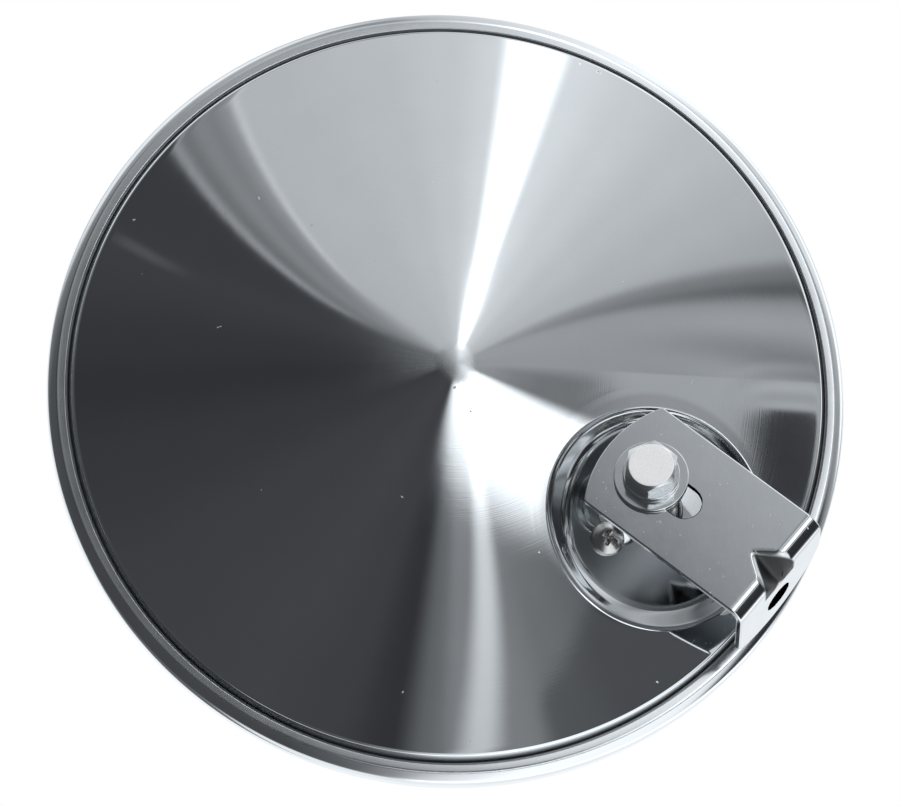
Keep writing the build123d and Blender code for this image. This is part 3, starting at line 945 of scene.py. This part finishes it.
def spun_steel():
    """Polished stainless sheet with the fine concentric marks of spinning, and a few handling marks; its colour
    carries painted shade in the pocket, most on the lower wall, and in the seam at the cone's step.
    """
    material, net, place = new_material("spun_steel")
    apart = net.node("ShaderNodeSeparateXYZ", {0: place}).outputs
    x, z = Value(net, apart["X"]), Value(net, apart["Z"])
    radius = net.math("SQRT", x * x + z * z)
    spun = net.combined(radius, 0, 0)
    rings = net.noise(spun, 2600, 4, 0.6)
    broad = net.noise(spun, 260, 3, 0.5)
    wave = net.noise(place, 9, 2, 0.5)
    cloud = net.noise(place, 60, 4, 0.6)
    specks = net.step(net.noise(place, 420, 1, 0.4), 0.81, 0.84)
    hollow, lower_wall = pocket_zones(net, place)
    seam = net.step(radius, (CONE_BASE_R + 0.1) * MM, (CONE_BASE_R + 0.7) * MM)
    # painted shade: the pocket is darkened, most on its lower wall, and the seam at the cone's step is painted
    # dark
    unshaded = 1 - hollow * (lower_wall * 0.45 + 0.15) - seam * 0.6
    steel = net.tint(rings * 0.5 + cloud * 0.5, (0.67, 0.7, 0.72), (0.8, 0.83, 0.85))
    brushed = net.step(cloud * 0.6 + rings * 0.4, 0.2, 0.8) * 0.016 + net.step(radius, 0.06, 0) * 0.045
    tip = net.step(radius, 6.5 * MM, 3 * MM) * 0.22
    rough = brushed + tip + specks * 0.6 + seam * 0.25 + hollow * 0.02 + 0.022
    grain = rings * 0.5 + broad * 0.35 + wave * 6 + specks * 6
    shader = finish_material(material, net, net.dimmed(steel, unshaded), rough, grain=grain, depth=4e-6)
    shader.inputs["Anisotropic"].default_value = 0.45
    shader.inputs["Anisotropic Rotation"].default_value = 0.25
    tangent = net.node("ShaderNodeTangent", direction_type="RADIAL", axis="Y")
    net.set(shader.inputs["Tangent"], tangent.outputs[0])
    return material


def rolled_steel():
    material, net, place = new_material("bezel_steel")
    cloud = net.noise(place, 80, 4, 0.6)
    steel = net.tint(cloud, (0.72, 0.75, 0.77), (0.84, 0.87, 0.89))
    finish_material(material, net, steel, cloud * 0.06 + 0.12, grain=cloud, strength=0.4, depth=4e-6)
    return material


def stretched(net, place, turn_by):
    """Coordinates drawn out along one direction, for scratches."""
    inputs = {"Vector": place, "Scale": (1, 0.3, 0.12), "Rotation": (0, turn_by, 0)}
    return Value(net, net.node("ShaderNodeMapping", inputs).outputs[0])


def plate_dullness_and_shade(net, place):
    """The plate's lower face, and the dart's pressed triangle: both rougher, and darkened with painted shade."""
    x_dir, y_dir, z_dir = PLATE.to_3x3().col
    height, along, across = net.dot(place, z_dir), net.dot(place, x_dir), abs(net.dot(place, y_dir))
    below = net.step(height, -1.5 * MM, -1.95 * MM) * net.step(along, 38.5 * MM, 37 * MM)
    wedge = (along - (BRACKET_OUT - DART_REACH) * MM) * (DART_HALF / DART_REACH) - across
    # pressed: the dart's pressed flanks, whose dark triangle is painted shade
    pressed = net.step(wedge, -0.4 * MM, 0.5 * MM) * net.step(height, -DART_DROP * MM, (1.5 - DART_DROP) * MM)
    return net.math("MAXIMUM", below, pressed * 2.2)


def scratched_plate():
    """Polished plate with short fine scratches and tiny bright pits, and painted shade on its lower face and in
    the dart's pressed triangle.
    """
    material, net, place = new_material("polished_plate")
    lines = net.noise(stretched(net, place, 0.5), 2400, 4, 0.65)
    scratch = net.step(net.noise(stretched(net, place, -0.6), 900, 1, 0.5), 0.72, 0.76)
    cloud = net.noise(place, 110, 4, 0.6)
    pits = net.step(net.noise(place, 700, 2, 0.5), 0.71, 0.75)
    marks = net.math("MAXIMUM", pits, scratch * net.step(cloud, 0.5, 0.6))
    dull_and_shade = plate_dullness_and_shade(net, place)
    steel = net.tint(cloud * 0.6 + marks * 0.8, (0.62, 0.65, 0.67), (0.86, 0.88, 0.9))
    rough = cloud * 0.05 + lines * 0.04 + 0.06 + marks * 0.5 + dull_and_shade * 0.2
    grain = lines * 0.3 + cloud * 1.2 - marks * 1.5
    # painted shade: darkens the plate's lower face and the dart's pressed triangle
    steel = net.dimmed(steel, 1 - dull_and_shade * 0.4)
    finish_material(material, net, steel, rough, grain=grain, strength=0.4, depth=1e-5)
    return material


def bright_zinc():
    """Bright zinc plating: smooth and clear on the washers and flats, frosted on top of the bolt's head."""
    material, net, place = new_material("zinc_plate")
    frost = net.step(net.dot(place, STUD.to_3x3().col[2]), (BOLT_TOP - 0.12) * MM, (BOLT_TOP - 0.02) * MM)
    grain = net.noise(place, 2600, 3, 0.6)
    fine = net.noise(place, 4200, 2, 0.6)
    cloud = net.noise(place, 260, 3, 0.5)
    clear = net.tint(fine * 0.5 + cloud * 0.5, (0.64, 0.67, 0.68), (0.84, 0.87, 0.89))
    frosted = net.tint(net.step(grain, 0.3, 0.6), (0.9, 0.91, 0.92), (1, 1, 1))
    rough = cloud * 0.05 + fine * 0.05 + 0.1 + frost * 0.35
    bumps = fine * (frost * 0.6 + 0.04) + grain * frost * 0.5
    zinc = net.blend(frost, clear, frosted)
    finish_material(material, net, zinc, rough, 1 - frost * 0.75, bumps, depth=2e-5)
    return material


def plain_metal(name, dark, light, roughness):
    material, net, place = new_material(name)
    grain = net.noise(place, 1400, 3, 0.6)
    cloud = net.noise(place, 160, 3, 0.5)
    steel = net.tint(grain * 0.4 + cloud * 0.6, (dark, dark, dark - 0.01), (light, light, light - 0.01))
    finish_material(material, net, steel, cloud * 0.1 + roughness, grain=grain, strength=0.4, depth=2e-5)
    return material


def soft_material(name, dark, light, roughness, scale):
    """Rubber, foam, board or nylon: a matt colour with its own grain."""
    material, net, place = new_material(name)
    grain = net.noise(place, scale, 5, 0.65)
    colour = net.tint(grain, dark, light)
    finish_material(material, net, colour, grain * 0.2 + roughness, 0, grain, depth=8e-5)
    return material


def clear_glass():
    material, net, place = new_material("mirror_glass")
    haze = net.step(net.noise(place, 40, 3, 0.5), 0.4, 0.9) * 0.01
    shader = finish_material(material, net, (0.93, 0.98, 0.96, 1), haze, 0)
    shader.inputs["Transmission Weight"].default_value = 1
    shader.inputs["IOR"].default_value = 1.5
    return material


def silvering():
    material, net, place = new_material("mirror_coat")
    cloud = net.noise(place, 30, 3, 0.5)
    silver = net.tint(cloud, (0.91, 0.92, 0.92), (0.95, 0.96, 0.96))
    finish_material(material, net, silver, cloud * 0.01 + 0.01)
    return material


MATERIALS = {
    "spun_steel": spun_steel(),
    "bezel_steel": rolled_steel(),
    "polished_plate": scratched_plate(),
    "zinc_plate": bright_zinc(),
    "stud_steel": plain_metal("stud_steel", 0.46, 0.66, 0.2),
    "screw_steel": plain_metal("screw_steel", 0.5, 0.72, 0.17),
    "plain_steel": plain_metal("plain_steel", 0.42, 0.56, 0.3),
    "mirror_glass": clear_glass(),
    "mirror_coat": silvering(),
    "rubber": soft_material("rubber", (0.018, 0.018, 0.018), (0.035, 0.035, 0.035), 0.65, 900),
    "fibreboard": soft_material("fibreboard", (0.2, 0.14, 0.09), (0.33, 0.25, 0.17), 0.7, 500),
    "foam": soft_material("foam", (0.03, 0.03, 0.03), (0.08, 0.08, 0.08), 0.85, 1500),
    "nylon": soft_material("nylon", (0.68, 0.66, 0.6), (0.8, 0.78, 0.73), 0.4, 700),
}

# ---- CAD nodes that stay get their slot's material
for part in frame["record"]["subparts"]:
    node = frame["nodes"][part["node"]]
    node.data.materials.clear()
    node.data.materials.append(MATERIALS[part["material_slot"]])


# ---- pieces
def add_pieces():
    coat_front = GLASS_CURVE - GLASS_THICK
    glass = lens_mesh(GLASS_CURVE, coat_front, GLASS_R, 0.3)
    coat = lens_mesh(coat_front, coat_front - COAT_THICK, GLASS_R - 0.3, 0.02)
    under = washer_mesh(UNDER_WASHER_R, UNDER_TOP - UNDER_WASHER, UNDER_WASHER, 0.15)
    flat = washer_mesh(FLAT_WASHER_R, FLAT_LOW, FLAT_WASHER, 0.3)
    add_piece("back_shell", "head", HEAD, shell_mesh(), "spun_steel", "housing_shell")
    add_piece("bezel", "head", HEAD, bezel_mesh(), "bezel_steel", "bezel_ring")
    add_piece("glass", "head", HEAD, glass, "mirror_glass", "mirror_glass")
    add_piece("silvering", "head", HEAD, coat, "mirror_coat", "reflective_coating")
    add_piece("pan_screws", "head", HEAD, screws_mesh(), "screw_steel", "clamp_screws")
    add_piece("stud", "stud", STUD, stud_mesh(), "stud_steel", "ball_stud")
    add_piece("washer_under", "slider", STUD, under, "zinc_plate", "under_washer")
    add_piece("washer_flat", "slider", STUD, flat, "zinc_plate", "flat_washer")
    add_piece("washer_split", "spring_washer", STUD, lock_washer_mesh(), "zinc_plate", "lock_washer")
    add_piece("bolt", "clamp_bolt", STUD, bolt_mesh(), "zinc_plate", "hex_bolt")
    add_piece("bracket", "bracket", PLATE, bracket_mesh(), "polished_plate", "angle_bracket")


# ---- camera
RIM_POINT = HEAD.translation
CAMERA_FROM_RIM = Vector((-0.0866, -0.9592, -0.2693))
CAMERA_RIGHT = Vector((0.9962, -0.0838, -0.0232))
CAMERA_UP = Vector((0, -0.2667, 0.9638))
SENSOR = 36.0
LENS = 148.2


def add_camera():
    data = bpy.data.cameras.new("camera")
    data.sensor_width = SENSOR
    data.lens = LENS
    camera = bpy.data.objects.new("camera", data)
    bpy.context.scene.collection.objects.link(camera)
    right = CAMERA_RIGHT.normalized()
    up = (CAMERA_UP - right * CAMERA_UP.dot(right)).normalized()
    camera.matrix_world = frame_matrix(RIM_POINT + CAMERA_FROM_RIM, right, up, right.cross(up))
    bpy.context.scene.camera = camera


# ---- studio
APEX_POINT = Vector((0, -CONE_TOP * MM, 0))     # from the rim's centre
SIGHT = (APEX_POINT - CAMERA_FROM_RIM).normalized()
BOUNCE = Vector((SIGHT.x, -SIGHT.y, SIGHT.z))   # the way a flat mirror facing -Y sends the camera's sight
NEAR_RING = degrees(2 * CONE_SLOPE)             # how far the cone turns the sight away from that
TURN_WAVES = (0.75, -3.27, 1.10, -0.64, -0.84)  # the cone is seen from below, which skews its view
REACH_WAVES = (0.084, 0.015, 0.045, 0.061, -0.046)
REACH_RATE = 0.1746


def studio_world():
    """Soft studio round the object: pale walls, softboxes and dark flags on the camera's side."""
    world = bpy.data.worlds.new("studio")
    bpy.context.scene.world = world
    world.use_nodes = True
    net = Net(world.node_tree)
    world.node_tree.nodes.clear()
    direction = Value(net, net.node("ShaderNodeTexCoord").outputs["Generated"])
    side = Vector((0, 0, 1)).cross(BOUNCE).normalized()
    theta = net.math("DEGREES", net.math("ARCCOSINE", net.dot(direction, BOUNCE)))
    around = net.math("ARCTAN2", net.dot(direction, BOUNCE.cross(side)), net.dot(direction, side))
    level = room_level(net, around, theta)
    colour = net.combined(level * 0.975, level, level * 1.02 + 0.003)
    lit = net.node("ShaderNodeBackground", {"Color": colour})
    unshaded = net.node("ShaderNodeBackground", {"Color": (1, 1, 1, 1)})
    seen = net.node("ShaderNodeLightPath").outputs["Is Camera Ray"]
    pick = net.node("ShaderNodeMixShader", {0: seen, 1: lit.outputs[0], 2: unshaded.outputs[0]})
    net.node("ShaderNodeOutputWorld", {"Surface": pick.outputs[0]})


def waves(around, terms):
    """Sum of a constant and the first two waves round the circle."""
    twice = around * 2.0
    first = around.cos() * terms[1] + around.sin() * terms[2]
    return first + twice.cos() * terms[3] + twice.sin() * terms[4] + terms[0]


def room_level(net, around, theta):
    """Brightness of the room by the angle round the mirrored sight and the angle away from it, in degrees.
    The cone's part of the room is painted by `angle` round its tip and `rho` outward, 1 at the rim."""
    psi = net.math("DEGREES", around)
    angle = net.full_turn(psi + waves(around, TURN_WAVES))
    psi = net.full_turn(psi)
    rho = net.math("MAXIMUM", waves(around, REACH_WAVES) + (theta - NEAR_RING) * REACH_RATE, 0)
    cone = mixed(net.step(theta, 23, 20), sector_levels(net, angle, rho), tip_levels(net, around, theta))
    outer = net.step(theta, 30.5, 34) + net.step(theta, 9.5, 7.5)
    level = small_softboxes(net, psi, theta, mixed(outer, cone, rim_levels(net, psi)))
    return far_walls(net, psi, theta, level)


def small_softboxes(net, psi, theta, level):
    """A card and a gleam that the pocket mirrors, and a dark flag for the bezel."""
    card = window(theta, 12, 14, 19, 20.5) * window(psi, 108, 116, 134, 142)
    sheen = net.ramp((psi - 118) / 14, [
        (0, 0.62), (0.35, 0.56), (0.57, 0.42), (0.72, 0.3), (0.82, 0.19), (1, 0.15),
    ])
    gleam = window(theta, 14, 17, 25, 30) * window(psi, 312, 320, 336, 344)
    flag = window(theta, 34, 39, 92, 99) * window(psi, 316, 323, 345, 352)
    return mixed(flag, mixed(card, level, sheen) + gleam, 0.035)


def far_walls(net, psi, theta, level):
    """The walls beside and behind the object, which its small parts and its front mirror."""
    glow = window(theta, 68, 78, 96, 106) * window(net.full_turn(psi + 30), 30, 38, 80, 92)
    side_light = window(theta, 60, 72, 105, 112) * window(psi, 88, 98, 135, 150)
    lower = net.step(theta, 99, 112) * window(psi, 262, 272, 340, 350)
    shadow = window(psi, 178, 188, 220, 232)
    level = mixed(lower, mixed(glow, level, 1.3) + side_light * 0.6, 2)
    return mixed(net.step(theta, 112, 126), level, 1.05 - shadow * 0.9)


def rim_levels(net, psi):
    """The room's walls as the bezel and the small parts see them."""
    return net.ramp(psi / 360, [
        (0, 0.36), (0.04, 0.5), (0.065, 0.95), (0.12, 0.75), (0.165, 1.25), (0.2, 0.95), (0.235, 0.7),
        (0.265, 0.3), (0.31, 0.5), (0.37, 0.38), (0.42, 0.2), (0.47, 0.085), (0.55, 0.065), (0.67, 0.07),
        (0.705, 0.12), (0.725, 0.28), (0.75, 0.9), (0.78, 1.3), (0.84, 1.2), (0.91, 0.9), (0.95, 0.2),
        (1, 0.36),
    ])


def sector_levels(net, angle, rho):
    """The walls that the cone mirrors, by place round its tip and outward from it."""
    near = net.step(rho, 0.38, 0)
    strip = net.step(abs(angle - 73.8 - rho), near * 8 + 6.5, near * 2 + 1.5)
    left = upper_levels(net, angle, rho, near * 14)
    wall = mixed(net.step(angle, 250, 259), left, lower_levels(net, angle, rho)) + strip * 1.6
    return right_levels(net, wall, angle, rho)


def upper_levels(net, angle, rho, soft):
    """The wall above, and round to the dark one on the left behind two bright edges."""
    upper = net.ramp(angle / 360, [
        (0, 0.46), (0.06, 0.49), (0.09, 0.58), (0.125, 0.66), (0.16, 0.78), (0.19, 0.92), (0.22, 0.86),
        (0.25, 0.72), (0.28, 0.65), (0.33, 0.6), (0.4, 0.56), (0.5, 0.5), (0.9, 0.44), (1, 0.46),
    ])
    gloom = net.ramp(angle / 360, [
        (0, 0.05), (0.42, 0.055), (0.44, 0.06), (0.48, 0.046), (0.5, 0.04), (0.54, 0.05),
        (0.6, 0.063), (0.66, 0.07), (0.7, 0.062), (0.72, 0.035),
    ])
    band = angle + rho * 21.9 - 146.5
    late = band - net.step(rho, 0.16, 0) * 38
    edge_a = net.step(abs(band), 1.2, 0.2) * net.step(rho, 0.2, 0.45)
    edge_b = net.step(abs(late - 12.2), 1.5, 0.3)
    inside = net.step(band, -0.5 - soft, soft + 1)
    dark = net.step(late, 12.6 - soft * 0.8, soft * 0.5 + 13.8)
    between = 0.32 - net.step(band, 0, 13) * 0.1 + (band * 1.1).sin() * 0.03 + edge_b * 0.14
    left = mixed(dark, mixed(inside, upper, between) + edge_a * 0.2, gloom)
    arc_line = net.step(abs(angle - 167 + rho * 12), 1.4, 0.3)
    return left + arc_line * window(rho, 0.72, 0.86, 0.93, 0.99) * 0.05


def tip_levels(net, around, theta):
    """The middle of the wall, which the rounded tip mirrors: a bright strip over a darker lower half."""
    x, y = theta * around.cos(), theta * around.sin()
    height = y + x * 0.33
    stops = [(0, 0.06), (0.22, 0.06), (0.34, 0.2), (0.56, 0.33), (1, 0.5)]
    wall = net.ramp((height + 25) / 50, stops)
    strip = net.step(abs(x - 9.2 + y * 0.12), 7, 2.5) * net.step(y, -27, -19)
    return wall + strip * 1.3


def lower_levels(net, angle, rho):
    """The walls below, from the dark flag round to the right."""
    base = net.ramp(angle / 360, [
        (0.7, 0.055), (0.722, 0.04), (0.738, 0.17), (0.75, 0.27), (0.775, 0.26), (0.8, 0.2), (0.83, 0.16),
        (0.9, 0.15), (0.93, 0.33), (0.96, 0.44), (1, 0.46),
    ])
    gloom = net.step(angle + (rho - 0.69) * 80, 299, 302) * net.step(rho, 0.6, 0.7)
    base = base * (1 - gloom * window(angle, 282, 286, 325, 333) * 0.45)
    left = net.step(angle, rho * 40 + 247, rho * 12 + 264)
    right = net.step(angle - net.math("MINIMUM", rho, 0.25) * 20, 331, 321)
    fade_from = (angle - 262) * 0.0075 + 0.06
    lobe = left * right * net.step(rho, fade_from + 0.24, fade_from)
    pocket_card = window(angle, 308, 314, 334, 342) * window(rho, 0.3, 0.4, 0.5, 0.62)
    streak = net.step(abs(angle - 282 + rho * 8.5), 5, 0.5)
    return base + net.math("MAXIMUM", lobe, pocket_card) * 1.5 + streak * (0.7 - rho * 0.3)


def right_levels(net, wall, angle, rho):
    """Dark furniture and its soft outlines in the wall on the right."""
    turn_by = net.math("RADIANS", angle)
    x, y = rho * turn_by.cos(), rho * turn_by.sin()
    curve = angle + rho * 14 - 31
    band = window(curve, -5.5, -1.5, 0.5, 4) * net.step(rho, 0.02, 0.2)
    below = net.step(curve, 1, -4) * net.step(angle, 60, 40)
    ripple = (curve * 0.55).sin() * net.step(rho, 0.4, 0.9) * 0.07
    wall = wall * (1 - band * (rho * 0.3 + 0.25)) - below * (rho * 0.05 + 0.06) + below * ripple
    across = net.math("MAXIMUM", abs(x - 0.9) - 0.05, 0)
    down = net.math("MAXIMUM", abs(y + 0.23) - 0.085, 0)
    reach = net.math("SQRT", across * across + down * down)
    rings = (reach * 110).sin() * window(reach, 0.06, 0.09, 0.16, 0.24) * 0.05
    wall = mixed(net.step(reach, 0.075, 0.055), wall + rings, 0.045)
    blob = window(angle, 330, 338, 352, 366) * window(rho, 0.05, 0.14, 0.36, 0.42)
    return mixed(blob * 0.75, wall, 0.11)


def add_floor():
    size, drop = 2.4, 0.42
    mesh = bpy.data.meshes.new("floor")
    corners = [(-size, -size, 0), (size, -size, 0), (size, size, 0), (-size, size, 0)]
    mesh.from_pydata(corners, [], [(0, 1, 2, 3)])
    floor = bpy.data.objects.new("floor", mesh)
    bpy.context.scene.collection.objects.link(floor)
    floor.location = (RIM_POINT.x, RIM_POINT.y, cad_bounds[0][2] - drop)
    floor.visible_glossy = False
    material, net, place = new_material("floor_paint")
    cloud = net.noise(place, 3.0, 3.0, 0.5)
    finish_material(material, net, net.tint(cloud, (0.80, 0.80, 0.79), (0.86, 0.86, 0.85)), 0.8, 0.0)
    mesh.materials.append(material)


def add_light(name, place, size, power):
    """A soft round lamp that points at the rim's centre."""
    data = bpy.data.lights.new(name, "AREA")
    data.shape = "DISK"
    data.size = size
    data.energy = power
    lamp = bpy.data.objects.new(name, data)
    bpy.context.scene.collection.objects.link(lamp)
    lamp.location = place
    lamp.rotation_euler = (RIM_POINT - Vector(place)).to_track_quat("-Z", "Y").to_euler()
    lamp.visible_glossy = False


add_pieces()
add_camera()
studio_world()
add_floor()
add_light("key", (0.5, -1.0, 1.9), 0.9, 22)
add_light("fill", (-1.2, 0.9, 1.4), 1.2, 12)
bpy.context.scene.view_settings.view_transform = "Standard"
bpy.context.scene.view_settings.look = "None"
